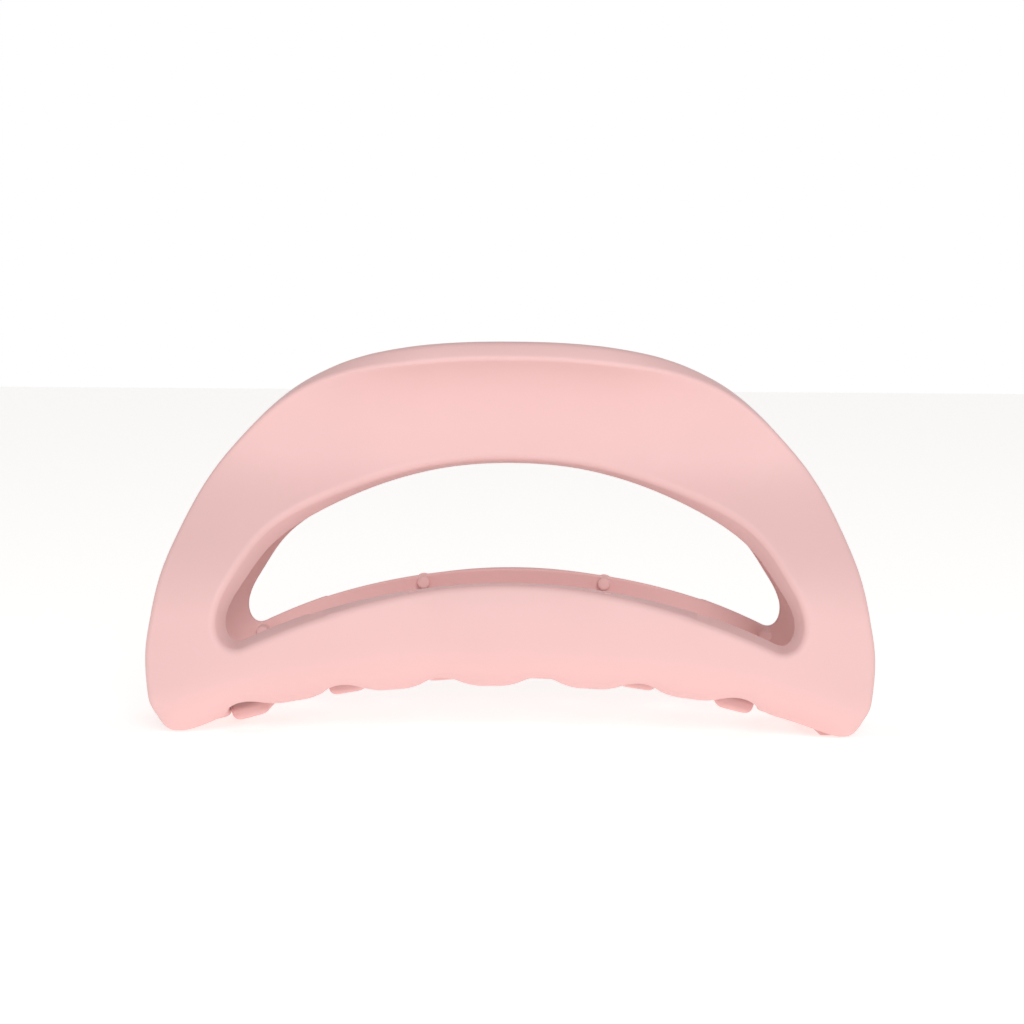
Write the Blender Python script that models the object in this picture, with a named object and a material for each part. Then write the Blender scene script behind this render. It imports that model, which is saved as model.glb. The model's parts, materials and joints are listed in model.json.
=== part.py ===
"""Claw clip: two half-moon jaws with interlocking teeth, a steel hinge pin and a torsion spring.

+Z is up, X runs along the clip, and the front jaw is at -Y. The hinge axis runs along X.
Lengths below are in millimetres. Each jaw is a sheet of plastic, drawn flat and then bent:
a point of the flat sheet is (x, w), where w is its height on the upright part, and carries
on downwards along the sheet where that bends round the chin and into the teeth.
A bent point is (x, depth, height), with depth measured from the clip's middle plane.
"""

import math

import bmesh
import bpy
import numpy as np
from mathutils import Matrix

MM = 0.001

# The wall: its thickness on the jaw, at the lever's rim and at the tooth tips, and its edge chamfer.
WALL, RIM_WALL, TIP_WALL, EDGE = 3.2, 3.6, 2.2, 0.8

# The lower bar stands upright, and the sheet bends inwards under it round the chin.
BAR_DEPTH, CHIN_RADIUS = 18.0, 5.5
CHIN_CENTRE, CHIN_ARCH, CHIN_END, CHIN_EASE, FOOT_DROP = 7.9, 0.0023, 42.1, 0.25, 0.6

# Above the bar the jaw leans in towards the hinge: (height, depth).
LEAN_FROM = 18.0
LEAN = ((11, 18.0), (18, 18.0), (22, 17.1), (27, 14.6), (32, 11.7), (37, 9.2), (41, 8.1), (45, 7.9), (61, 7.9))

# The lever flares outwards along its rim, most at its middle. The jaw's ends turn in a little.
FLARE_RADIUS, FLARE_TILT = 12.9, math.radians(60)
FLARE_FROM, FLARE_TO, FLARE_ABOVE = 12.0, 46.0, 26.0
SIDE_FROM, SIDE_SPAN, SIDE_TURN = 34.0, 18.0, 2.6

# Outlines of the flat sheet's right half, from the top centre down, each with its side point.
ARCH = (
    (0, 56.75), (9, 56.5), (18.9, 55.4), (24, 54.3), (30.3, 51.7), (34.5, 48.85), (37.9, 45.7),
    (42.35, 40.4), (45.95, 34.6), (48.65, 28.9), (50.8, 23.2), (52.1, 17.4), (52.85, 12.1),
    (52.65, 7.6), (52.25, 5.0), (51.2, 1.6), (50.2, -0.9), (49.0, -2.4),
)
ARCH_SIDE = 11
WINDOW = (
    (0, 40.05), (10.2, 39.3), (19.1, 37.1), (24.85, 34.85), (30.6, 31.85), (35.8, 27.6), (38.95, 23.0),
    (40.45, 20.4), (41.3, 18.2), (41.5, 16.4), (41.15, 15.0), (40.5, 14.2), (39.5, 13.9), (38.2, 14.4),
)
WINDOW_SIDE = 8
SILL_CENTRE, SILL_ARCH = 23.15, 0.006

# Teeth: half widths at the tip and root, and distances along the sheet from where it starts to bend.
PITCH, TOOTH_TIP, TOOTH_ROOT, TIP_SHAPE = 14.4, 2.85, 4.7, 0.6
ROOT_AT, TIP_AT, END_NOTCH_AT, END_NOTCH_X = 6.0, 29.1, 10.4, 47.3
TIP_CENTRE, TIP_ARCH, TIP_EASE, TIP_FLOOR = 8.05, 0.00432, 0.25, -0.3
FRONT_TEETH = [(40.5 - PITCH * k, TOOTH_TIP) for k in range(7)]
BACK_TEETH = [(38.7 - PITCH * k, TOOTH_TIP) for k in range(6)] + [(-47.0, 1.6)]

# Hinge: ears on the jaw, the pin and the spring's coil and legs.
AXIS_Z = 45.3
PIN_RADIUS, BORE_RADIUS, PIN_HALF, PIN_BEVEL = 1.0, 1.1, 14.4, 0.3
EAR_RADIUS, EAR_WALL, EAR_X = 3.2, 2.2, (-12.9, 10.4)
EAR_ROOT, EAR_NECK = 7.4, 4.2
COIL_RADIUS, WIRE_RADIUS, COIL_TURNS, COIL_HALF = 2.2, 0.45, 7, 7.4
LEG_LENGTH, LEG_LEAN = 7.9, math.radians(36)

# Grip pegs on the inner face of the bar, just under the window.
PEG_RADIUS, PEG_LENGTH, PEG_DROP, PEG_X = 1.0, 2.2, 1.6, (-39.0, -14.0, 14.0, 39.0)

# Mesh density. A column runs from the window to the outer edge, past a knee above the teeth.
ARCH_COLUMNS, CORNER_COLUMNS = 14, 8
ARC_STEPS, FLANK_STEPS = 2, 1
BODY_ROWS, REACH_ROWS = 5, 4
KNEE_AT, KNEE_TOP, KNEE_FOOT = 4.2, 0.45, 0.9
SILL_SPREAD, KNEE_SPREAD, LEAST_GAP = 0.78, 0.985, 0.3
PIN_SIDES, WIRE_SIDES, COIL_STEPS, PEG_SIDES = 16, 6, 12, 10


def smoothstep(t):
    t = np.clip(t, 0, 1)
    return t * t * (3 - 2 * t)


def natural_spline(knots, values, at):
    """The natural cubic spline through values at knots, read at the positions given."""
    knots, values, at = np.asarray(knots, float), np.asarray(values, float), np.asarray(at, float)
    step = np.diff(knots)
    system, right = np.eye(len(knots)), np.zeros(values.shape)
    for i in range(1, len(step)):
        system[i, i - 1 : i + 2] = step[i - 1], 2 * (step[i - 1] + step[i]), step[i]
        right[i] = 6 * ((values[i + 1] - values[i]) / step[i] - (values[i] - values[i - 1]) / step[i - 1])
    bend = np.linalg.solve(system, right)
    i = np.clip(np.searchsorted(knots, at) - 1, 0, len(step) - 1)
    after, before, span = knots[i + 1] - at, at - knots[i], step[i]
    if values.ndim > 1:
        after, before, span = after[:, None], before[:, None], span[:, None]
    a, b = after / span, before / span
    curve = (a**3 - a) * bend[i] + (b**3 - b) * bend[i + 1]
    return a * values[i] + b * values[i + 1] + curve * span**2 / 6


def outline(points, side, columns, corner_columns):
    """Columns along half an outline: evenly down to its side point, then evenly round its lower corner."""
    mirrored = [(-x, w) for x, w in points[3:0:-1]]
    full = np.array(mirrored + list(points), float)
    knots = np.concatenate([[0], np.cumsum(np.hypot(*np.diff(full, axis=0).T) ** 0.7)])
    start, end = knots[len(mirrored)], knots[len(mirrored) + side]
    upper = natural_spline(knots, full, np.linspace(start, end, 400))
    lower = natural_spline(knots, full, np.linspace(end, knots[-1], 200))
    return np.concatenate([even(upper, columns), even(lower, corner_columns)[1:]])


def even(path, count):
    """Points at count equal steps along a path."""
    run = np.concatenate([[0], np.cumsum(np.hypot(*np.diff(path, axis=0).T))])
    at = np.linspace(0, run[-1], count + 1)
    return np.stack([np.interp(at, run, path[:, 0]), np.interp(at, run, path[:, 1])], axis=1)


def chin_height(x):
    """The height of the chin's underside at x: an arch that levels off at the feet."""
    arch = CHIN_CENTRE - CHIN_ARCH * x**2 - (x / CHIN_END) ** 6
    return 0.5 * (arch + np.sqrt(arch**2 + CHIN_EASE)) - FOOT_DROP


def tip_height(x):
    """The height of the underside of a tooth tip at x."""
    arch = TIP_CENTRE - TIP_ARCH * x**2 - TIP_FLOOR
    return 0.5 * (arch + np.sqrt(arch**2 + TIP_EASE)) + TIP_FLOOR


def bend_height(x):
    """The height where the sheet starts to bend inwards."""
    return chin_height(x) + WALL / 2 + CHIN_RADIUS


def root_arch(centre, radius, level):
    """Half a circle from right to left, bulging up."""
    turns = np.linspace(0, math.pi, 2 * ARC_STEPS + 1)
    return [(centre + radius * math.cos(a), level + radius * math.sin(a)) for a in turns]


def blunt_tip(centre, half, level):
    """A tooth's tip from right to left, bulging down: half a rounded square."""
    turns = np.linspace(0, math.pi, 2 * ARC_STEPS + 1)
    across = np.sign(np.cos(turns)) * np.abs(np.cos(turns)) ** TIP_SHAPE
    down = np.sin(turns).clip(0) ** TIP_SHAPE
    return list(np.stack([centre + half * across, level - half * down], axis=1))


def comb(teeth):
    """The sheet's lower edge from right to left: an end notch, then rounded tips with root arches between."""
    root = PITCH / 2 - TOOTH_ROOT
    flank = teeth[0][0] + TOOTH_ROOT
    level = bend_height(flank) - END_NOTCH_AT
    stretches = [[(END_NOTCH_X, level), (flank + 1.0, level), (flank + 0.2, level - 0.8)]]
    for k, (centre, half) in enumerate(teeth):
        if k:
            between = teeth[k - 1][0] - PITCH / 2
            stretches.append(root_arch(between, root, bend_height(between) - ROOT_AT - root))
        stretches.append(blunt_tip(centre, half, bend_height(centre) - TIP_AT + half))
    foot, tip = ARCH[-1], stretches[-1][-1]
    stretches.append([(-foot[0], (foot[1] + tip[1]) / 2)])
    points = []
    for stretch, following in zip(stretches, stretches[1:] + [[]]):
        points += stretch
        if following:
            shares = np.arange(1, FLANK_STEPS)[:, None] / FLANK_STEPS
            points += list(np.array(stretch[-1]) * (1 - shares) + np.array(following[0]) * shares)
    return np.array(points)


def side_normals(loop):
    """Unit normals of a closed outline that runs clockwise, pointing out of it."""
    along = np.roll(loop, -1, axis=0) - np.roll(loop, 1, axis=0)
    normal = np.stack([-along[:, 1], along[:, 0]], axis=1)
    return normal / np.linalg.norm(normal, axis=1, keepdims=True)


def rim_distance(x, w):
    """How far a point of the sheet lies inside the lever's rim, negative beyond it."""
    half = outline(ARCH, ARCH_SIDE, 120, 4)
    rim = np.concatenate([half[:0:-1] * (-1, 1), half])
    flat = np.stack([x.ravel(), w.ravel()], axis=1)
    signed = np.full(len(flat), np.inf)
    for start, end in zip(rim[:-1], rim[1:]):
        run, away = end - start, flat - start
        share = np.clip((away @ run) / (run @ run), 0, 1)
        gap = np.linalg.norm(away - share[:, None] * run, axis=1)
        beyond = run[0] * away[:, 1] > run[1] * away[:, 0]
        signed = np.where(gap < np.abs(signed), np.where(beyond, -gap, gap), signed)
    return signed.reshape(x.shape)


def side_turn(x):
    return SIDE_TURN * (np.clip(np.abs(x) - SIDE_FROM, 0, None) / SIDE_SPAN) ** 2


def upright_depth(x, w):
    """The depth of the upright part of the sheet: its lean, the lever's flare and the turned-in ends."""
    heights, depths = zip(*LEAN)
    lean = natural_spline(heights, depths, np.clip(w, heights[0], heights[-1]).ravel()).reshape(w.shape)
    lean = np.where(w < LEAN_FROM, BAR_DEPTH, lean)
    tilt = FLARE_TILT * smoothstep((FLARE_TO - np.abs(x)) / (FLARE_TO - FLARE_FROM))
    turned = np.clip(np.sin(tilt) - rim_distance(x, w) / FLARE_RADIUS, 0, 0.97)
    flare = FLARE_RADIUS * (1 - np.sqrt(1 - turned**2)) * (w > FLARE_ABOVE)
    return lean + flare - side_turn(x)


def bend(x, w):
    """The middle of the wall, as (x, depth, height), for points of the flat sheet."""
    quarter = CHIN_RADIUS * math.pi / 2
    below = bend_height(x) - w
    angle = np.clip(below / CHIN_RADIUS, 0, math.pi / 2)
    beyond = np.clip(below - quarter, 0, None)
    thinned = (WALL - TIP_WALL) / 2
    rise = (tip_height(x) - chin_height(x) - thinned) / (TIP_AT - quarter)
    depth = upright_depth(x, w) - CHIN_RADIUS * (1 - np.cos(angle)) - beyond
    height = np.where(below > 0, bend_height(x) - CHIN_RADIUS * np.sin(angle) + rise * beyond, w)
    return np.stack([x, depth, height], axis=-1)


def bent_normals(x, w):
    """Unit normals of the bent sheet, pointing to the jaw's outer face."""
    e = 0.02
    along_x = bend(x + e, w) - bend(x - e, w)
    along_w = bend(x, w + e) - bend(x, w - e)
    normal = np.cross(along_w, along_x)
    return normal / np.linalg.norm(normal, axis=-1, keepdims=True)


def kept_apart(x, right, left):
    """A falling run of x between right and left, moved where two columns would be too close."""
    x = x.copy()
    for i in range(len(x)):
        x[i] = min(x[i], (x[i - 1] if i else right) - LEAST_GAP)
    for i in range(len(x) - 1, -1, -1):
        x[i] = max(x[i], (x[i + 1] if i + 1 < len(x) else left) + LEAST_GAP)
    return x


def flat_columns(teeth):
    """The flat sheet's grid: rows from the window's edge to the outer edge, one point per column."""
    outer_half = outline(ARCH, ARCH_SIDE, ARCH_COLUMNS, CORNER_COLUMNS)
    window_half = outline(WINDOW, WINDOW_SIDE, ARCH_COLUMNS, CORNER_COLUMNS)
    lower = comb(teeth)
    outer = np.concatenate([outer_half, lower, outer_half[:0:-1] * (-1, 1)])
    outer_in = outer - side_normals(outer) * EDGE
    low = slice(len(outer_half), len(outer_half) + len(lower))
    foot = KNEE_SPREAD * ARCH[-1][0]
    spread = kept_apart(outer_in[low, 0], foot, -foot)
    sill = np.stack([spread * SILL_SPREAD, SILL_CENTRE - SILL_ARCH * (spread * SILL_SPREAD) ** 2], axis=1)
    inner = np.concatenate([window_half, sill, window_half[:0:-1] * (-1, 1)])
    inner_in = inner + side_normals(inner) * EDGE
    share = np.linspace(KNEE_TOP, KNEE_FOOT, len(outer_half))
    shares = np.concatenate([share, np.full(len(lower), KNEE_FOOT), share[:0:-1]])[:, None]
    knee = inner_in + (outer_in - inner_in) * shares
    low_x = inner_in[:, 0] + (outer[:, 0] - inner_in[:, 0]) * KNEE_FOOT
    low_x[low] = spread
    level = np.stack([low_x, bend_height(low_x) - KNEE_AT], axis=1)
    near_foot = np.clip((np.arange(len(outer_half)) - ARCH_COLUMNS) / CORNER_COLUMNS, 0, 1)
    weight = np.concatenate([near_foot, np.ones(len(lower)), near_foot[:0:-1]])[:, None]
    knee = knee + (level - knee) * weight
    body = np.linspace(0, 1, BODY_ROWS + 1)[:, None, None] ** 0.85
    reach = np.linspace(0, 1, REACH_ROWS + 1)[1:, None, None]
    return np.concatenate(
        [inner[None], inner_in + (knee - inner_in) * body, knee + (outer_in - knee) * reach, outer[None]]
    )


def jaw_shell(teeth):
    """Vertices and faces of one jaw in the front position: a closed wall that runs round the window."""
    flat = flat_columns(teeth)
    x, w = flat[..., 0], flat[..., 1]
    middle, normal = bend(x, w), bent_normals(x, w)
    half = np.interp(w, (-20, 0, 41, 53), (TIP_WALL, WALL, WALL, RIM_WALL)) / 2
    half[[0, -1]] -= EDGE
    offset = normal * half[..., None]
    rings = list((middle + offset)[1:]) + list((middle - offset)[::-1]) + [(middle + offset)[0]]
    grid = np.array(rings) * (1, -1, 1)
    count = grid.shape[1]
    faces = []
    for r in range(len(grid)):
        this, following = r * count, (r + 1) % len(grid) * count
        for c in range(count):
            d = (c + 1) % count
            faces.append((this + c, this + d, following + d, following + c))
    return grid.reshape(-1, 3), faces


def make_object(name, vertices, faces):
    mesh = bpy.data.meshes.new(name)
    mesh.from_pydata([tuple(float(v) * MM for v in p) for p in vertices], [], faces)
    work = bmesh.new()
    work.from_mesh(mesh)
    bmesh.ops.triangulate(work, faces=[f for f in work.faces if len(f.verts) == 4], quad_method="SHORT_EDGE")
    bmesh.ops.recalc_face_normals(work, faces=work.faces)
    work.to_mesh(mesh)
    work.free()
    obj = bpy.data.objects.new(name, mesh)
    bpy.context.scene.collection.objects.link(obj)
    return obj


def lofted(name, rings):
    """A solid through rings with the same number of points, closed by a flat face at each end."""
    sides, count = len(rings[0]), len(rings)
    faces = [tuple(range(sides)), tuple(range(count * sides - 1, (count - 1) * sides - 1, -1))]
    for r in range(count - 1):
        for i in range(sides):
            j = (i + 1) % sides
            faces.append((r * sides + i, r * sides + j, (r + 1) * sides + j, (r + 1) * sides + i))
    return make_object(name, [p for ring in rings for p in ring], faces)


def across_x(profile, x):
    """A (depth, height) profile as a ring of points in the plane at x."""
    return [(x, -depth, height) for depth, height in profile]


def disc(radius):
    """A round profile about the hinge axis."""
    turns = [2 * math.pi * (i + 0.5) / PIN_SIDES for i in range(PIN_SIDES)]
    return [(radius * math.cos(a), AXIS_Z + radius * math.sin(a)) for a in turns]


def ear_profile():
    """A hinge ear: round about the axis, spreading to a root inside the wall."""
    turns = np.radians(np.linspace(250, 110, 9))
    nose = [(EAR_RADIUS * math.cos(a), AXIS_Z + EAR_RADIUS * math.sin(a)) for a in turns]
    root = ((EAR_NECK, 3.3), (EAR_ROOT, 4.0), (EAR_ROOT, -3.2), (EAR_NECK, -3.0))
    return nose + [(depth, AXIS_Z + rise) for depth, rise in root]


def make_ear(x):
    return lofted("ear", [across_x(ear_profile(), x + side * EAR_WALL / 2) for side in (-1, 1)])


def make_peg(x):
    """A short round peg on the bar's inner face, pointing at the other jaw."""
    face = BAR_DEPTH - side_turn(x) - WALL / 2
    height = SILL_CENTRE - SILL_ARCH * x**2 - PEG_DROP
    turns = [2 * math.pi * i / PEG_SIDES for i in range(PEG_SIDES)]
    end, bevel = face - PEG_LENGTH, 0.4
    steps = ((face + 1.2, PEG_RADIUS), (end + bevel, PEG_RADIUS), (end, PEG_RADIUS - bevel))
    rings = []
    for depth, radius in steps:
        rings.append([(x + radius * math.cos(a), -depth, height + radius * math.sin(a)) for a in turns])
    return lofted("peg", rings)


def combine(body, tool, operation):
    """Apply a Boolean of the tool to the body, and remove the tool."""
    modifier = body.modifiers.new(operation, "BOOLEAN")
    modifier.operation, modifier.solver, modifier.object = operation, "EXACT", tool
    with bpy.context.temp_override(object=body, active_object=body):
        bpy.ops.object.modifier_apply(modifier=modifier.name)
    bpy.data.objects.remove(tool)


def make_jaw(name, teeth):
    """A jaw in the front position: shell, hinge ears and grip pegs, bored for the pin and levelled at the feet."""
    jaw = make_object(name, *jaw_shell(teeth))
    for x in EAR_X:
        combine(jaw, make_ear(x), "UNION")
    for x in PEG_X:
        combine(jaw, make_peg(x), "UNION")
    reach = ARCH[ARCH_SIDE + 1][0] + 5
    bore = lofted("bore", [across_x(disc(BORE_RADIUS), x) for x in (-reach, reach)])
    combine(jaw, bore, "DIFFERENCE")
    below = [(-40, -5), (40, -5), (40, 0), (-40, 0)]
    ground = lofted("ground", [across_x(below, x) for x in (-reach, reach)])
    combine(jaw, ground, "DIFFERENCE")
    return jaw


def turned_round(obj):
    """Turn a mesh half a turn about the vertical, from the front position to the back."""
    obj.data.transform(Matrix.Rotation(math.pi, 4, "Z"))
    return obj


def make_pin():
    """The hinge pin, with a bevel at each end."""
    end = PIN_HALF - PIN_BEVEL
    steps = ((-PIN_HALF, PIN_BEVEL), (-end, 0), (end, 0), (PIN_HALF, PIN_BEVEL))
    return lofted("hinge_pin", [across_x(disc(PIN_RADIUS - bevel), x) for x, bevel in steps])


def spring_path():
    """The spring's centre line: a leg up the front lever, the coil, and a leg up the back lever."""
    total = 2 * math.pi * COIL_TURNS + math.pi + 2 * LEG_LEAN
    steps = round(total / (2 * math.pi) * COIL_STEPS)
    share = np.arange(steps + 1) / steps
    turn = -LEG_LEAN - total * share
    x = COIL_HALF * (2 * share - 1)
    coil = np.stack([x, COIL_RADIUS * np.cos(turn), AXIS_Z + COIL_RADIUS * np.sin(turn)], axis=1)
    leg = LEG_LENGTH * np.array([0, math.sin(LEG_LEAN), math.cos(LEG_LEAN)])
    first, last = coil[0], coil[-1]
    far = leg * (1, -1, 1)
    return np.array([first + leg, first + leg / 2, *coil, last + far / 2, last + far])


def make_spring():
    """A round wire along the spring's centre line."""
    path = spring_path()
    tangents = np.gradient(path, axis=0)
    across = np.array([1.0, 0, 0])
    rings = []
    for point, tangent in zip(path, tangents):
        tangent = tangent / np.linalg.norm(tangent)
        across = across - tangent * (across @ tangent)
        across /= np.linalg.norm(across)
        other = np.cross(tangent, across)
        turns = [2 * math.pi * i / WIRE_SIDES for i in range(WIRE_SIDES)]
        ring = [point + WIRE_RADIUS * (math.cos(a) * across + math.sin(a) * other) for a in turns]
        rings.append([(p[0], -p[1], p[2]) for p in ring])
    return lofted("torsion_spring", rings)


def finish(obj, colour, roughness, metallic):
    """Give the object its material, smooth shading and an origin on the hinge axis."""
    material = bpy.data.materials.new(obj.name)
    material.use_nodes = True
    shader = material.node_tree.nodes["Principled BSDF"]
    shader.inputs["Base Color"].default_value = (*colour, 1)
    shader.inputs["Roughness"].default_value = roughness
    shader.inputs["Metallic"].default_value = metallic
    obj.data.materials.clear()
    obj.data.materials.append(material)
    obj.data.shade_smooth()
    obj.data.set_sharp_from_angle(angle=math.radians(40))
    obj.data.transform(Matrix.Translation((0, 0, -AXIS_Z * MM)))
    obj.location = (0, 0, AXIS_Z * MM)


def build():
    for old in list(bpy.data.objects):
        bpy.data.objects.remove(old)
    pink, steel = (0.85, 0.53, 0.52), (0.62, 0.62, 0.63)
    finish(make_jaw("front_jaw", FRONT_TEETH), pink, 0.55, 0)
    finish(turned_round(make_jaw("back_jaw", BACK_TEETH)), pink, 0.55, 0)
    finish(make_pin(), steel, 0.3, 1)
    finish(make_spring(), steel, 0.35, 1)


build()
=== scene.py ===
"""Looks of the claw clip: two soft-touch plastic jaws, a steel hinge pin and a torsion spring.

Each jaw is a sheet of plastic, drawn flat and then bent. A point of the flat sheet is (x, w),
and a bent point is (x, depth, height), with depth measured from the clip's middle plane.
Shape lengths are in millimetres, and meshes, lights and the camera are in metres.
"""

import json
import math

import bmesh
import bpy
import numpy as np
from mathutils import Matrix, Vector, geometry


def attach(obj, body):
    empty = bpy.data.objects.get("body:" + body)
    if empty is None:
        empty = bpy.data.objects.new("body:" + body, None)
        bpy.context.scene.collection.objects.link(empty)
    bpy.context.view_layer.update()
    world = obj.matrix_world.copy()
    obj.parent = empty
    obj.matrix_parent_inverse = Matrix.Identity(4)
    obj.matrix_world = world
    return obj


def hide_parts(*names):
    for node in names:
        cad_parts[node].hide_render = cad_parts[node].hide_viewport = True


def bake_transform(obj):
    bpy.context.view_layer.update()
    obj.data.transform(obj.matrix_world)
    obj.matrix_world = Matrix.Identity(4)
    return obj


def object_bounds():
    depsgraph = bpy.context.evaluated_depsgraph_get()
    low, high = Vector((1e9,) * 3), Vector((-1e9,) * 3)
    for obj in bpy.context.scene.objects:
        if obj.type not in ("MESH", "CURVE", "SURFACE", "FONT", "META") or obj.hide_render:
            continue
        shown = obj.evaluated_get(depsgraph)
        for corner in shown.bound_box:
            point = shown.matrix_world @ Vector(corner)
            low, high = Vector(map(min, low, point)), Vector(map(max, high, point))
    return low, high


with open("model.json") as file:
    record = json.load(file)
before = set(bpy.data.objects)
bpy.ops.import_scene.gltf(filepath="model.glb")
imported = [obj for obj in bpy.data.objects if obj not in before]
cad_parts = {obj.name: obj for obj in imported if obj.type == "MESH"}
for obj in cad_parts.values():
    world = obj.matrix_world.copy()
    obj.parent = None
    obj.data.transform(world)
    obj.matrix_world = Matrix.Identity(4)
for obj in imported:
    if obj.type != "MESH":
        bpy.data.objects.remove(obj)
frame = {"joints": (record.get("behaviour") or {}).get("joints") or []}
cad_low, cad_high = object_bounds()

MM = 0.001
HINGE = frame["joints"][0]
AXIS_Z = HINGE["pos_m"][2] / MM

# The wall: its thickness on the jaw, at the lever's rim and at the tooth tips.
WALL, RIM_WALL, TIP_WALL = 3.2, 3.6, 2.2

# The lower bar stands upright, and the sheet bends inwards under it round the chin.
BAR_DEPTH, CHIN_RADIUS = 18.0, 5.5
CHIN_CENTRE, CHIN_ARCH, CHIN_END, CHIN_EASE, FOOT_DROP = 7.9, 0.0023, 42.1, 0.25, 0.6

# Above the bar the jaw leans in towards the hinge: (height, depth).
LEAN_FROM = 18.0
LEAN = (
    (11, 18.0), (18, 18.0), (22, 17.1), (27, 14.6), (32, 11.7), (37, 9.2), (41, 8.1), (45, 7.9), (61, 7.9),
)

# The lever flares outwards along its rim, most at its middle. The jaw's ends turn in a little.
FLARE_RADIUS, FLARE_TILT = 12.9, math.radians(60)
FLARE_FROM, FLARE_TO, FLARE_ABOVE = 12.0, 46.0, 26.0
SIDE_FROM, SIDE_SPAN, SIDE_TURN = 34.0, 18.0, 2.6

# Outlines of the flat sheet's right half, from the top centre down.
ARCH = (
    (0, 56.75), (9, 56.5), (18.9, 55.4), (24, 54.3), (30.3, 51.7), (34.5, 48.85), (37.9, 45.7),
    (42.35, 40.4), (45.95, 34.6), (48.65, 28.9), (50.8, 23.2), (52.1, 17.4), (52.85, 12.1),
    (52.65, 7.6), (52.25, 5.0), (51.2, 1.6), (50.2, -0.9), (49.0, -2.4),
)
WINDOW = (
    (0, 40.05), (10.2, 39.3), (19.1, 37.1), (24.85, 34.85), (30.6, 31.85), (35.8, 27.6), (38.95, 23.0),
    (40.45, 20.4), (41.3, 18.2), (41.5, 16.4), (41.15, 15.0), (40.5, 14.2), (39.5, 13.9), (38.2, 14.4),
)
SILL_CENTRE, SILL_ARCH = 23.15, 0.006

# Teeth: half widths at the tip and root, and distances along the sheet from where it starts to bend.
# The tips' underside follows an arch of its own, down to a floor.
PITCH, TOOTH_TIP, TOOTH_ROOT, TIP_SHAPE = 14.4, 2.85, 4.7, 0.6
ROOT_AT, TIP_AT, END_NOTCH_AT, END_NOTCH_X = 6.0, 29.1, 10.4, 47.3
TIP_CENTRE, TIP_ARCH, TIP_EASE, TIP_FLOOR = 8.05, 0.00432, 0.25, -0.3
FRONT_TEETH = [(40.5 - PITCH * k, TOOTH_TIP) for k in range(7)]
BACK_TEETH = [(38.7 - PITCH * k, TOOTH_TIP) for k in range(6)] + [(-47.0, 1.6)]

# How far the corners of the two outlines, and the directions off them, are softened.
OUTER_SOFTEN, WINDOW_SOFTEN, NORMAL_SOFTEN = 0.45, 0.35, 0.6

# Radii of the moulded edges on the outer and inner face, and how far past them the plain sheet starts.
WINDOW_ROUND, RIM_ROUND, END_ROUND, TOOTH_ROUND = (1.1, 0.35), (0.7, 1.5), (0.9, 0.9), (0.95, 0.8)
PLAIN_GAP = 0.15

# The window's edge slopes: below its top, its outer side is further from the hole than its inner side.
DRAFT, DRAFT_FROM, DRAFT_TO = 0.85, 38.0, 28.0

# The outer face thins towards the edges of the teeth, by so much at the edge and over so far from it.
CROWN, CROWN_REACH = 0.85, 3.5

# Hinge ears, the pin, and the spring's coil and legs.
PIN_RADIUS, BORE_RADIUS, PIN_HALF = 1.0, 1.1, 14.4
EAR_RADIUS, EAR_WALL, EAR_X, EAR_ROUND, EAR_FILLET = 3.2, 2.2, (-12.9, 10.4), 0.4, 0.9
EAR_RISE, EAR_FALL, BORE_SINK, PIN_ROUND, WIRE_END = 0.5, 0.1, 0.22, 0.3, 0.78
COIL_RADIUS, WIRE_RADIUS, COIL_TURNS, COIL_HALF = 2.2, 0.45, 7, 7.4
LEG_LENGTH, LEG_LEAN = 7.9, math.radians(36)

# Grip pegs on the inner face of the bar, just under the window.
PEG_RADIUS, PEG_LENGTH, PEG_DROP, PEG_X = 1.0, 2.2, 1.6, (-39.0, -14.0, 14.0, 39.0)
PEG_FILLET, PEG_CROWN = 0.4, 0.45

# Colours, the height of a bump's grain in metres, and the span that a noise mostly keeps to.
PINK, STEEL = (0.80, 0.515, 0.50), (0.66, 0.65, 0.63)
GRAIN_HEIGHT, NOISE_SPAN = 0.00002, (0.3, 0.7)

# Studio: the surrounding light's strength from behind and from elsewhere, the key light's place, size and
# power, the floor's half width and glow, and the camera's turn, lift, roll, distance and aim.
BRIGHTEST_WAY, BRIGHT_SPAN = (0.0, 0.8, -0.6), (0.0, 0.6)
BACK_LIGHT, FRONT_LIGHT = 1.0, 0.43
KEY_PLACE, KEY_TARGET, KEY_SIZE, KEY_POWER = (0.15, -1.25, 0.45), (0, 0, 0.03), 0.4, 7.4
FLOOR_REACH, FLOOR_GLOW = 4.0, 0.5
YAW, LIFT, ROLL, AWAY = math.radians(1.1), math.radians(3.0), math.radians(0.4), 0.440
AIM_X, AIM_Z, SENSOR, LENS = 0.0003, 0.0332, 36.0, 107.5

# Mesh density, in millimetres between points or in steps.
OUTLINE_STEP, SHEET_STEP = 0.35, 0.8
ROUND_STEPS, LATHE_SIDES, WIRE_SIDES, COIL_STEPS, PEG_SIDES = 6, 48, 16, 48, 28
RIM_POINTS, OUTLINE_POINTS, ARC_POINTS = 640, 700, 25
SHARP = math.radians(35)


def smoothstep(t):
    t = np.clip(t, 0, 1)
    return t * t * (3 - 2 * t)


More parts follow.
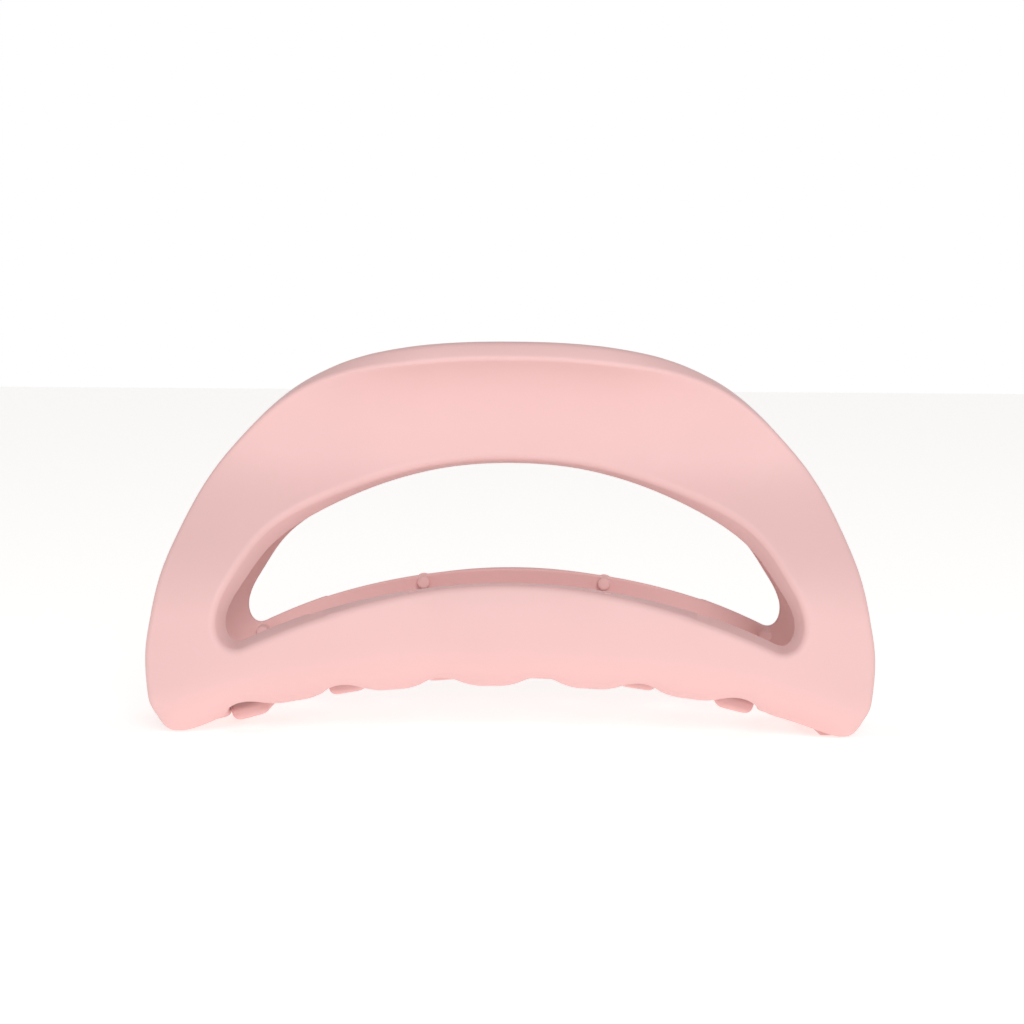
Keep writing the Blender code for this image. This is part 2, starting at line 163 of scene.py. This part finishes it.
def natural_spline(knots, values, at):
    """The natural cubic spline through values at knots, read at the positions given."""
    knots, values, at = np.asarray(knots, float), np.asarray(values, float), np.asarray(at, float)
    step = np.diff(knots)
    system, right = np.eye(len(knots)), np.zeros(values.shape)
    for i in range(1, len(step)):
        system[i, i - 1 : i + 2] = step[i - 1], 2 * (step[i - 1] + step[i]), step[i]
        right[i] = 6 * ((values[i + 1] - values[i]) / step[i] - (values[i] - values[i - 1]) / step[i - 1])
    bend = np.linalg.solve(system, right)
    i = np.clip(np.searchsorted(knots, at) - 1, 0, len(step) - 1)
    after, before, span = knots[i + 1] - at, at - knots[i], step[i]
    if values.ndim > 1:
        after, before, span = after[:, None], before[:, None], span[:, None]
    a, b = after / span, before / span
    curve = (a**3 - a) * bend[i] + (b**3 - b) * bend[i + 1]
    return a * values[i] + b * values[i + 1] + curve * span**2 / 6


def half_outline(points):
    """A dense line down the right half of an outline."""
    mirrored = [(-x, w) for x, w in points[3:0:-1]]
    full = np.array(mirrored + list(points), float)
    knots = np.concatenate([[0], np.cumsum(np.hypot(*np.diff(full, axis=0).T) ** 0.7)])
    return natural_spline(knots, full, np.linspace(knots[len(mirrored)], knots[-1], OUTLINE_POINTS))


def chin_height(x):
    """The height of the chin's underside at x: an arch that levels off at the feet."""
    arch = CHIN_CENTRE - CHIN_ARCH * x**2 - (x / CHIN_END) ** 6
    return 0.5 * (arch + np.sqrt(arch**2 + CHIN_EASE)) - FOOT_DROP


def tip_height(x):
    """The height of the underside of a tooth tip at x."""
    arch = TIP_CENTRE - TIP_ARCH * x**2 - TIP_FLOOR
    return 0.5 * (arch + np.sqrt(arch**2 + TIP_EASE)) + TIP_FLOOR


def bend_height(x):
    """The height where the sheet starts to bend inwards."""
    return chin_height(x) + WALL / 2 + CHIN_RADIUS


def root_arch(centre, radius, level):
    """Half a circle from right to left, bulging up."""
    turns = np.linspace(0, math.pi, ARC_POINTS)
    return [(centre + radius * math.cos(a), level + radius * math.sin(a)) for a in turns]


def blunt_tip(centre, half, level):
    """A tooth's tip from right to left, bulging down: half a rounded square."""
    turns = np.linspace(0, math.pi, ARC_POINTS)
    across = np.sign(np.cos(turns)) * np.abs(np.cos(turns)) ** TIP_SHAPE
    down = np.sin(turns).clip(0) ** TIP_SHAPE
    return list(np.stack([centre + half * across, level - half * down], axis=1))


def comb(teeth):
    """The sheet's lower edge from right to left: an end notch, then tips with root arches between."""
    root = PITCH / 2 - TOOTH_ROOT
    flank = teeth[0][0] + TOOTH_ROOT
    level = bend_height(flank) - END_NOTCH_AT
    points = [(END_NOTCH_X, level), (flank + 1.0, level), (flank + 0.2, level - 0.8)]
    for k, (centre, half) in enumerate(teeth):
        if k:
            between = teeth[k - 1][0] - PITCH / 2
            points += root_arch(between, root, bend_height(between) - ROOT_AT - root)
        points += blunt_tip(centre, half, bend_height(centre) - TIP_AT + half)
    return np.array(points)


def smooth_loop(values, reach):
    """Values along a closed loop, averaged with a bell curve reaching over so many neighbours."""
    count = int(math.ceil(3 * reach))
    weights = np.exp(-0.5 * (np.arange(-count, count + 1) / reach) ** 2)
    weights /= weights.sum()
    return sum(w * np.roll(values, k - count, axis=0) for k, w in enumerate(weights))


def closed_loop(points, soften):
    """A closed outline at even steps, with its corners softened over so many millimetres."""
    path = np.concatenate([points, points[:1]])
    path = path[np.concatenate([[True], np.hypot(*np.diff(path, axis=0).T) > 1e-6])]
    run = np.concatenate([[0], np.cumsum(np.hypot(*np.diff(path, axis=0).T))])
    count = round(run[-1] / OUTLINE_STEP)
    at = np.arange(count) * run[-1] / count
    loop = np.stack([np.interp(at, run, path[:, 0]), np.interp(at, run, path[:, 1])], axis=1)
    return smooth_loop(loop, soften / OUTLINE_STEP)


def outer_loop(teeth):
    half = half_outline(ARCH)
    return closed_loop(np.concatenate([half, comb(teeth), half[:0:-1] * (-1, 1)]), OUTER_SOFTEN)


def window_loop():
    half = half_outline(WINDOW)
    across = np.linspace(half[-1, 0], -half[-1, 0], 400)[1:-1]
    sill = np.stack([across, SILL_CENTRE - SILL_ARCH * across**2], axis=1)
    return closed_loop(np.concatenate([half, sill, half[:0:-1] * (-1, 1)]), WINDOW_SOFTEN)


def loop_normals(loop):
    """Normals pointing out of a clockwise outline, eased where it turns sharply."""
    along = np.roll(loop, -1, axis=0) - np.roll(loop, 1, axis=0)
    normal = np.stack([-along[:, 1], along[:, 0]], axis=1)
    normal /= np.linalg.norm(normal, axis=1, keepdims=True)
    return smooth_loop(normal, NORMAL_SOFTEN / OUTLINE_STEP)


def distance_to(loop, points):
    """The distance from each point to the nearest point of a line."""
    nearest = np.empty(len(points))
    for start in range(0, len(points), 2000):
        part = points[start : start + 2000]
        nearest[start : start + 2000] = np.linalg.norm(part[:, None] - loop[None], axis=2).min(axis=1)
    return nearest


def inside(loop, points):
    """True for each point inside a closed outline."""
    x, y = points.T
    odd = np.zeros(len(points), bool)
    for (x0, y0), (x1, y1) in zip(loop, np.roll(loop, -1, axis=0)):
        if y0 != y1:
            odd ^= ((y0 > y) != (y1 > y)) & (x < (x1 - x0) * (y - y0) / (y1 - y0) + x0)
    return odd


RIM_HALF = half_outline(ARCH)[:RIM_POINTS:4]
RIM = np.concatenate([RIM_HALF[:0:-1] * (-1, 1), RIM_HALF])


def rim_distance(x, w):
    """How far a point of the sheet lies inside the lever's rim, negative beyond it."""
    flat = np.stack([x, w], axis=1)
    signed = np.full(len(flat), np.inf)
    for start, end in zip(RIM[:-1], RIM[1:]):
        run, away = end - start, flat - start
        share = np.clip((away @ run) / (run @ run), 0, 1)
        gap = np.linalg.norm(away - share[:, None] * run, axis=1)
        beyond = run[0] * away[:, 1] > run[1] * away[:, 0]
        signed = np.where(gap < np.abs(signed), np.where(beyond, -gap, gap), signed)
    return signed


def side_turn(x):
    return SIDE_TURN * (np.clip(np.abs(x) - SIDE_FROM, 0, None) / SIDE_SPAN) ** 2


def upright_depth(x, w):
    """The depth of the upright part of the sheet: its lean, the lever's flare and the turned-in ends."""
    heights, depths = zip(*LEAN)
    lean = natural_spline(heights, depths, np.clip(w, heights[0], heights[-1]))
    lean = np.where(w < LEAN_FROM, BAR_DEPTH, lean)
    tilt = FLARE_TILT * smoothstep((FLARE_TO - np.abs(x)) / (FLARE_TO - FLARE_FROM))
    turned = np.clip(np.sin(tilt) - rim_distance(x, w) / FLARE_RADIUS, 0, 0.97)
    flare = FLARE_RADIUS * (1 - np.sqrt(1 - turned**2)) * (w > FLARE_ABOVE)
    return lean + flare - side_turn(x)


def bend(x, w):
    """The middle of the wall, as (x, depth, height), for points of the flat sheet."""
    quarter = CHIN_RADIUS * math.pi / 2
    below = bend_height(x) - w
    angle = np.clip(below / CHIN_RADIUS, 0, math.pi / 2)
    beyond = np.clip(below - quarter, 0, None)
    thinned = (WALL - TIP_WALL) / 2
    rise = (tip_height(x) - chin_height(x) - thinned) / (TIP_AT - quarter)
    depth = upright_depth(x, w) - CHIN_RADIUS * (1 - np.cos(angle)) - beyond
    height = np.where(below > 0, bend_height(x) - CHIN_RADIUS * np.sin(angle) + rise * beyond, w)
    return np.stack([x, depth, height], axis=-1)


def bent_normals(x, w):
    """Unit normals of the bent sheet, pointing to the jaw's outer face."""
    e = 0.02
    along_x = bend(x + e, w) - bend(x - e, w)
    along_w = bend(x, w + e) - bend(x, w - e)
    normal = np.cross(along_w, along_x)
    return normal / np.linalg.norm(normal, axis=-1, keepdims=True)


def slope_stretch(loop, inward):
    """How much longer the bent sheet is than the flat one, going inwards from each point of an outline."""
    near, far = loop + inward * 0.05, loop + inward * 0.15
    return np.linalg.norm(bend(*far.T) - bend(*near.T), axis=1) / 0.1


def edge_radii(loop, is_window):
    """The radius of the moulded edge at each point of an outline, on the outer and on the inner face."""
    if is_window:
        return [np.full(len(loop), radius) for radius in WINDOW_ROUND]
    x, w = loop.T
    on_rim = smoothstep((w - 25) / 14)
    on_teeth = smoothstep((2 - w) / 5)
    radii = []
    for rim, end, tooth in zip(RIM_ROUND, END_ROUND, TOOTH_ROUND):
        radii.append(end + (rim - end) * on_rim + (tooth - end) * on_teeth)
    return radii


def edge_rings(loop, inward, radii, draft):
    """Rings round an edge, from the outer face to the inner one.

    Each is (flat points, share of the half wall, offset).
    """
    turns = np.linspace(0, math.pi / 2, ROUND_STEPS + 1)
    plain = loop + inward * (np.maximum(radii[0] + draft, radii[1]) + PLAIN_GAP)[:, None]
    rings = [(plain, 1, 0)]
    for way, radius, back, angles in ((1, radii[0], draft, turns[::-1]), (-1, radii[1], 0, turns)):
        for a in angles:
            flat = loop + inward * (back + radius * (1 - math.cos(a)))[:, None]
            rings.append((flat, way, -way * radius * (1 - math.sin(a))))
    rings.append((plain, -1, 0))
    return rings


def plain_points(outer, window):
    """A staggered grid of points between two outlines."""
    low, high = outer.min(axis=0), outer.max(axis=0)
    rows = np.arange(low[1], high[1], SHEET_STEP * math.sqrt(3) / 2)
    points = []
    for k, w in enumerate(rows):
        across = np.arange(low[0] + SHEET_STEP * (k % 2) / 2, high[0], SHEET_STEP)
        points.append(np.stack([across, np.full(len(across), w)], axis=1))
    points = np.concatenate(points)
    points = points[inside(outer, points)]
    points = points[~inside(window, points)]
    return points[distance_to(np.concatenate([outer, window]), points) > 0.55 * SHEET_STEP]


def triangles_between(outer, window, points):
    """Triangles of the plain sheet over outer, window and points, numbered in that order."""
    flat = np.concatenate([outer, window, points])
    edges = []
    for start, count in ((0, len(outer)), (len(outer), len(window))):
        edges += [(start + i, start + (i + 1) % count) for i in range(count)]
    found = geometry.delaunay_2d_cdt([Vector(p) for p in flat], edges, [], 1, 1e-6)
    original = [ids[0] for ids in found[3]]
    faces = np.array([[original[v] for v in face] for face in found[2]])
    centres = flat[faces].mean(axis=1)
    return faces[inside(outer, centres) & ~inside(window, centres)]


def crown(x, w, from_edge):
    """How much thinner the outer face is round the edges of the teeth."""
    below = bend_height(x) - w
    on_teeth = smoothstep((below - 1) / 3) * smoothstep((20 - below) / 8)
    return CROWN * on_teeth * np.clip(1 - from_edge / CROWN_REACH, 0, 1) ** 2


def jaw_shell(teeth):
    """Vertices and faces of one jaw in the front position."""
    edge = outer_loop(teeth)
    loops = []
    for loop, way, is_window in ((edge, -1, False), (window_loop(), 1, True)):
        inward = loop_normals(loop) * way
        inward /= slope_stretch(loop, inward)[:, None]
        draft = DRAFT * is_window * smoothstep((DRAFT_FROM - loop[:, 1]) / (DRAFT_FROM - DRAFT_TO))
        loops.append(edge_rings(loop, inward, edge_radii(loop, is_window), draft))
    sheet = plain_points(loops[0][0][0], loops[1][0][0])
    triangles = triangles_between(loops[0][0][0], loops[1][0][0], sheet)
    flat, share, offset, faces = [], [], [], []
    starts, total = [], 0
    for rings in loops:
        count = len(rings[0][0])
        starts.append(total)
        for points, way, more in rings:
            flat.append(points)
            share.append(np.full(count, float(way)))
            offset.append(np.broadcast_to(more, count).astype(float))
        for r in range(len(rings) - 1):
            for c in range(count):
                d = (c + 1) % count
                a, b = total + r * count, total + (r + 1) * count
                faces.append((a + c, a + d, b + d, b + c))
        total += len(rings) * count
    for way in (1.0, -1.0):
        flat.append(sheet)
        share.append(np.full(len(sheet), way))
        offset.append(np.zeros(len(sheet)))
    counts = [len(rings[0][0]) for rings in loops]
    last = [starts[i] + (len(loops[i]) - 1) * counts[i] for i in (0, 1)]
    for first_outer, first_window, first_sheet in (
        (starts[0], starts[1], total),
        (last[0], last[1], total + len(sheet)),
    ):
        number = np.concatenate(
            [
                first_outer + np.arange(counts[0]),
                first_window + np.arange(counts[1]),
                first_sheet + np.arange(len(sheet)),
            ]
        )
        faces += [tuple(int(v) for v in face) for face in number[triangles]]
    flat, share, offset = np.concatenate(flat), np.concatenate(share), np.concatenate(offset)
    x, w = flat.T
    half = np.interp(w, (-20, 0, 41, 53), (TIP_WALL, WALL, WALL, RIM_WALL)) / 2
    raised = half * share + offset - crown(x, w, distance_to(edge, flat)) * (share > 0)
    points = bend(x, w) + bent_normals(x, w) * raised[:, None]
    return points * (1, -1, 1), faces


def make_object(name, vertices, faces):
    mesh = bpy.data.meshes.new(name)
    mesh.from_pydata([tuple(float(v) * MM for v in p) for p in vertices], [], faces)
    work = bmesh.new()
    work.from_mesh(mesh)
    bmesh.ops.recalc_face_normals(work, faces=work.faces)
    work.to_mesh(mesh)
    work.free()
    obj = bpy.data.objects.new(name, mesh)
    bpy.context.scene.collection.objects.link(obj)
    return obj


def lofted(name, rings):
    """A solid through rings with the same number of points, closed by a flat face at each end."""
    sides, count = len(rings[0]), len(rings)
    faces = [tuple(range(sides)), tuple(range(count * sides - 1, (count - 1) * sides - 1, -1))]
    for r in range(count - 1):
        for i in range(sides):
            j = (i + 1) % sides
            faces.append((r * sides + i, r * sides + j, (r + 1) * sides + j, (r + 1) * sides + i))
    return make_object(name, [p for ring in rings for p in ring], faces)


def lathe_x(name, steps):
    """A solid of revolution about the hinge axis, from (x, radius) steps."""
    turns = [2 * math.pi * i / LATHE_SIDES for i in range(LATHE_SIDES)]
    rings = [[(x, -r * math.cos(a), AXIS_Z + r * math.sin(a)) for a in turns] for x, r in steps]
    return lofted(name, rings)


def rounded_rectangle(half_width, low, high, radius):
    """A ring of (x, z) points, with so many steps round each corner."""
    radius = min(radius, 0.95 * half_width, 0.475 * (high - low))
    points = []
    for k, (side, level) in enumerate(((1, high), (-1, high), (-1, low), (1, low))):
        corner_x = side * (half_width - radius)
        corner_z = level - radius if level == high else level + radius
        for a in np.linspace(k * math.pi / 2, (k + 1) * math.pi / 2, 7):
            points.append((corner_x + radius * math.cos(a), corner_z + radius * math.sin(a)))
    return points


def make_ear(x):
    """A hinge ear in the front position: round about the axis, with a fillet where it meets the wall."""
    wall_face = float(upright_depth(np.array([x]), np.array([AXIS_Z]))[0]) - WALL / 2
    depths = list(-EAR_RADIUS * np.cos(np.linspace(0.06, math.pi / 2, 16)))
    depths += list(np.linspace(0.4, wall_face - EAR_FILLET, 9))
    depths += list(wall_face - EAR_FILLET * np.cos(np.linspace(0.2, math.pi / 2, 8)))
    depths.append(wall_face + 0.5)
    rings = []
    for depth in depths:
        if depth < 0:
            low = high = math.sqrt(EAR_RADIUS**2 - depth**2)
        else:
            spread = smoothstep(depth / wall_face)
            high, low = EAR_RADIUS + EAR_RISE * spread, EAR_RADIUS - EAR_FALL * spread
        into = depth + EAR_RADIUS
        narrow = EAR_ROUND - math.sqrt(max(0, EAR_ROUND**2 - max(0, EAR_ROUND - into) ** 2))
        near = np.clip((depth - wall_face + EAR_FILLET) / EAR_FILLET, 0, 1)
        fillet = EAR_FILLET * (1 - math.sqrt(1 - near**2))
        half_width = EAR_WALL / 2 - narrow + fillet
        ring = rounded_rectangle(half_width, -low - fillet, high + fillet, EAR_ROUND + fillet)
        rings.append([(x + dx, -depth, AXIS_Z + dz) for dx, dz in ring])
    return lofted("ear", rings)


def make_peg(x):
    """A short round peg on the bar's inner face, with a fillet at its foot and a rounded end."""
    face = BAR_DEPTH - side_turn(x) - WALL / 2
    height = SILL_CENTRE - SILL_ARCH * x**2 - PEG_DROP
    steps = [(face + 1.0, PEG_RADIUS + 0.1)]
    for a in np.linspace(0.1, math.pi / 2, 6):
        foot = face - PEG_FILLET * (1 - math.cos(a)) + 0.02
        steps.append((foot, PEG_RADIUS + PEG_FILLET * (1 - math.sin(a))))
    for a in np.linspace(0, math.pi / 2 - 0.1, 7):
        end = face - PEG_LENGTH + PEG_CROWN
        steps.append((end - PEG_CROWN * math.sin(a), PEG_RADIUS - PEG_CROWN * (1 - math.cos(a))))
    turns = [2 * math.pi * i / PEG_SIDES for i in range(PEG_SIDES)]
    rings = [[(x + r * math.cos(a), -d, height + r * math.sin(a)) for a in turns] for d, r in steps]
    return lofted("peg", rings)


def joined(objects):
    """One object that holds the meshes of several that don't touch."""
    work = bmesh.new()
    for obj in objects:
        work.from_mesh(obj.data)
    work.to_mesh(objects[0].data)
    work.free()
    for obj in objects[1:]:
        bpy.data.objects.remove(obj)
    return objects[0]


def combine(body, tool, operation):
    """Apply a Boolean of the tool to the body, and remove the tool."""
    modifier = body.modifiers.new(operation, "BOOLEAN")
    modifier.operation, modifier.solver, modifier.object = operation, "EXACT", tool
    with bpy.context.temp_override(object=body, active_object=body):
        bpy.ops.object.modifier_apply(modifier=modifier.name)
    bpy.data.objects.remove(tool)


def make_jaw(name, teeth):
    """A jaw in the front position: shell, ears and pegs, bored for the pin and levelled at the feet."""
    jaw = make_object(name, *jaw_shell(teeth))
    combine(jaw, joined([make_ear(x) for x in EAR_X] + [make_peg(x) for x in PEG_X]), "UNION")
    cutters = []
    for x in EAR_X:
        half, sink = EAR_WALL / 2, BORE_SINK
        steps = ((half + 0.4, 0.4 + sink), (half, sink), (half - sink, 0), (sink - half, 0))
        steps += ((-half, sink), (-half - 0.4, 0.4 + sink))
        cutters.append(lathe_x("bore", [(x + at, BORE_RADIUS + more) for at, more in steps]))
    reach = 60
    below = [(-reach, -5), (reach, -5), (reach, 0), (-reach, 0)]
    cutters.append(lofted("ground", [[(x, y, z) for y, z in below] for x in (-reach, reach)]))
    combine(jaw, joined(cutters), "DIFFERENCE")
    return jaw


def make_pin():
    """The hinge pin, with a turned bevel at each end."""
    steps = [(PIN_HALF, PIN_RADIUS - 2 * PIN_ROUND), (PIN_HALF - 0.02, PIN_RADIUS - PIN_ROUND - 0.1)]
    for a in np.linspace(0, math.pi / 2, 7):
        at = PIN_HALF - PIN_ROUND * (1 - math.cos(a))
        steps.append((at, PIN_RADIUS - PIN_ROUND * (1 - math.sin(a))))
    steps += [(at, PIN_RADIUS) for at in np.linspace(PIN_HALF - 1, 0, 20)]
    return lathe_x("pin", steps + [(-at, r) for at, r in steps[-2::-1]])


def spring_path():
    """The spring's centre line: a leg up the front lever, the coil, and a leg up the back lever."""
    total = 2 * math.pi * COIL_TURNS + math.pi + 2 * LEG_LEAN
    steps = round(total / (2 * math.pi) * COIL_STEPS)
    share = np.arange(steps + 1) / steps
    turn = -LEG_LEAN - total * share
    x = COIL_HALF * (2 * share - 1)
    coil = np.stack([x, COIL_RADIUS * np.cos(turn), AXIS_Z + COIL_RADIUS * np.sin(turn)], axis=1)
    leg = LEG_LENGTH * np.array([0, math.sin(LEG_LEAN), math.cos(LEG_LEAN)])
    along = np.linspace(0, 1, 24)[1:, None]
    first = coil[0] + leg * along[::-1]
    last = coil[-1] + leg * (1, -1, 1) * along
    return np.concatenate([first, coil, last])


def make_spring():
    """A round wire along the spring's centre line, with its ends slightly rounded."""
    path = spring_path()
    tangents = np.gradient(path, axis=0)
    tangents /= np.linalg.norm(tangents, axis=1, keepdims=True)
    run = np.concatenate([[0], np.cumsum(np.linalg.norm(np.diff(path, axis=0), axis=1))])
    across = np.array([1.0, 0, 0])
    rings = []
    for point, tangent, at in zip(path, tangents, run):
        across = across - tangent * (across @ tangent)
        across /= np.linalg.norm(across)
        other = np.cross(tangent, across)
        from_end = min(at, run[-1] - at)
        radius = WIRE_RADIUS * (1 if from_end > 1e-9 else WIRE_END)
        turns = [2 * math.pi * i / WIRE_SIDES for i in range(WIRE_SIDES)]
        ring = [point + radius * (math.cos(a) * across + math.sin(a) * other) for a in turns]
        rings.append([(p[0], -p[1], p[2]) for p in ring])
    spring = lofted("spring", rings)
    along = spring.data.attributes.new("along_wire", "FLOAT", "POINT")
    along.data.foreach_set("value", np.repeat(run, WIRE_SIDES).astype(np.float32))
    return spring


def shade(obj, material):
    obj.data.materials.clear()
    obj.data.materials.append(material)
    obj.data.shade_smooth()
    obj.data.set_sharp_from_angle(angle=SHARP)


def set_range(node, span, values):
    """Make a Map Range node turn one span into another."""
    for socket, value in zip(("From Min", "From Max", "To Min", "To Max"), (*span, *values)):
        node.inputs[socket].default_value = value


class Nodes:
    """Short names for building one material's nodes."""

    def __init__(self, name):
        self.material = bpy.data.materials.new(name)
        self.material.use_nodes = True
        self.tree = self.material.node_tree
        self.shader = self.tree.nodes["Principled BSDF"]

    def add(self, kind, settings=None, **inputs):
        node = self.tree.nodes.new("ShaderNode" + kind)
        for key, value in (settings or {}).items():
            setattr(node, key, value)
        for key, value in inputs.items():
            self.put(node, key.replace("_", " "), value)
        return node

    def put(self, node, socket, value):
        target = node.inputs[socket]
        if isinstance(value, bpy.types.NodeSocket):
            self.tree.links.new(value, target)
        else:
            target.default_value = value

    def noise(self, vector, scale, detail=3.0, roughness=0.5):
        node = self.add("TexNoise", Vector=vector, Scale=scale, Detail=detail, Roughness=roughness)
        return node.outputs["Fac"]

    def ramp(self, noise, low, high):
        """A colour running from low to high over the usual span of a noise."""
        node = self.add("ValToRGB", Fac=noise)
        for element, at, colour in zip(node.color_ramp.elements, NOISE_SPAN, (low, high)):
            element.position = at
            element.color = (*colour, 1)
        return node.outputs["Color"]

    def range(self, noise, low, high):
        """A number running from low to high over the usual span of a noise."""
        node = self.add("MapRange", Value=noise)
        set_range(node, NOISE_SPAN, (low, high))
        return node.outputs["Result"]

    def bump(self, height, strength, distance):
        return self.add("Bump", Strength=strength, Distance=distance, Height=height).outputs["Normal"]


def soft_touch_plastic(name, colour):
    """Matte rubber-coated plastic: a very fine spray grain over barely uneven colour and gloss."""
    n = Nodes(name)
    place = n.add("TexCoord").outputs["Object"]
    clouds = n.noise(place, 45.0, 4.0)
    grain = n.noise(place, 5200.0, 2.0, 0.6)
    low = tuple(c * 0.985 for c in colour)
    high = tuple(min(1, c * 1.012) for c in colour)
    n.put(n.shader, "Base Color", n.ramp(clouds, low, high))
    n.put(n.shader, "Roughness", n.range(n.noise(place, 120.0, 5.0), 0.5, 0.6))
    n.put(n.shader, "Normal", n.bump(grain, 0.25, GRAIN_HEIGHT))
    n.put(n.shader, "Specular IOR Level", 0.35)
    n.put(n.shader, "Sheen Weight", 0.12)
    n.put(n.shader, "Sheen Roughness", 0.5)
    return n.material


def drawn_steel(name, colour, streak_vector):
    """Bright steel with fine drawing marks. streak_vector gives coordinates stretched along the wire."""
    n = Nodes(name)
    streaks = n.noise(streak_vector(n), 1.0, 3.0, 0.6)
    blotches = n.noise(n.add("TexCoord").outputs["Object"], 700.0, 3.0)
    low = tuple(c * 0.88 for c in colour)
    n.put(n.shader, "Base Color", n.ramp(blotches, low, colour))
    n.put(n.shader, "Roughness", n.range(streaks, 0.2, 0.42))
    n.put(n.shader, "Normal", n.bump(streaks, 0.35, GRAIN_HEIGHT))
    n.put(n.shader, "Metallic", 1.0)
    return n.material


def along_x(n):
    """Coordinates for marks that run along X."""
    place = n.add("TexCoord").outputs["Object"]
    return n.add("Mapping", Vector=place, Scale=(300.0, 9000.0, 9000.0)).outputs["Vector"]


def along_wire(n):
    """Coordinates for marks that run along the spring's wire: its length, and its place across."""
    length = n.add("Attribute", {"attribute_name": "along_wire"}).outputs["Fac"]
    place = n.add("TexCoord").outputs["Object"]
    split = n.add("SeparateXYZ", Vector=place)
    joined_up = n.add("CombineXYZ", X=length)
    n.put(joined_up, "Y", split.outputs["X"])
    n.put(joined_up, "Z", split.outputs["Z"])
    stretched = n.add("Mapping", Vector=joined_up.outputs["Vector"], Scale=(0.4, 7000.0, 7000.0))
    return stretched.outputs["Vector"]


plastic = soft_touch_plastic("jaw_plastic", PINK)

front = make_jaw("claw_front", FRONT_TEETH)
back = make_jaw("claw_back", BACK_TEETH)
back.data.transform(Matrix.Rotation(math.pi, 4, "Z"))
for piece, node in ((front, "front_jaw"), (back, "back_jaw")):
    shade(piece, plastic)
    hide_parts(node)
    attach(piece, node)

pin = make_pin()
shade(pin, drawn_steel("pin_steel", STEEL, along_x))
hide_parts("hinge_pin")
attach(pin, "back_jaw")

spring = make_spring()
shade(spring, drawn_steel("spring_steel", STEEL, along_wire))
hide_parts("torsion_spring")
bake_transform(spring)


def make_floor():
    """A plain white floor under the clip."""
    mesh = bpy.data.meshes.new("floor")
    corners = [(x * FLOOR_REACH, y * FLOOR_REACH, 0) for x, y in ((-1, -1), (1, -1), (1, 1), (-1, 1))]
    mesh.from_pydata(corners, [], [(0, 1, 2, 3)])
    floor = bpy.data.objects.new("floor", mesh)
    bpy.context.scene.collection.objects.link(floor)
    n = Nodes("floor_white")
    n.put(n.shader, "Base Color", (0.9, 0.9, 0.9, 1))
    n.put(n.shader, "Roughness", 0.9)
    n.put(n.shader, "Emission Color", (1.0, 0.97, 0.95, 1))
    n.put(n.shader, "Emission Strength", FLOOR_GLOW)
    n.put(n.shader, "Specular IOR Level", 0.1)
    mesh.materials.append(n.material)


def make_light(name, place, target, size, power, colour):
    """A square soft box at place, turned to target."""
    data = bpy.data.lights.new(name, "AREA")
    data.size, data.energy, data.color = size, power, colour
    light = bpy.data.objects.new(name, data)
    light.location = place
    light.rotation_euler = (Vector(target) - Vector(place)).to_track_quat("-Z", "Y").to_euler()
    bpy.context.scene.collection.objects.link(light)


def make_world():
    """Soft white light from all round, brightest behind the clip."""
    world = bpy.data.worlds.new("studio")
    world.use_nodes = True
    tree = world.node_tree
    behind = tree.nodes.new("ShaderNodeVectorMath")
    behind.operation = "DOT_PRODUCT"
    behind.inputs[1].default_value = BRIGHTEST_WAY
    tree.links.new(tree.nodes.new("ShaderNodeTexCoord").outputs["Generated"], behind.inputs[0])
    strength = tree.nodes.new("ShaderNodeMapRange")
    set_range(strength, BRIGHT_SPAN, (FRONT_LIGHT, BACK_LIGHT))
    tree.links.new(behind.outputs["Value"], strength.inputs["Value"])
    background = tree.nodes["Background"]
    background.inputs["Color"].default_value = (1, 1, 1, 1)
    tree.links.new(strength.outputs["Result"], background.inputs["Strength"])
    bpy.context.scene.world = world


def make_camera():
    """A long lens in front of the clip, a little above it and to its right."""
    centre = (cad_low + cad_high) / 2
    target = Vector((centre.x + AIM_X, cad_low.y, AIM_Z))
    level = Vector((math.sin(YAW), -math.cos(YAW), 0)) * math.cos(LIFT)
    back_off = level + Vector((0, 0, math.sin(LIFT)))
    data = bpy.data.cameras.new("camera")
    data.sensor_width, data.lens = SENSOR, LENS
    camera = bpy.data.objects.new("camera", data)
    turn = (-back_off).to_track_quat("-Z", "Y").to_matrix().to_4x4()
    place = Matrix.Translation(target + back_off * AWAY)
    camera.matrix_world = place @ turn @ Matrix.Rotation(ROLL, 4, "Z")
    bpy.context.scene.collection.objects.link(camera)
    bpy.context.scene.camera = camera


make_floor()
make_world()
make_light("key", KEY_PLACE, KEY_TARGET, KEY_SIZE, KEY_POWER, (1.0, 0.99, 1.0))
make_camera()
bpy.context.scene.view_settings.view_transform = "Standard"
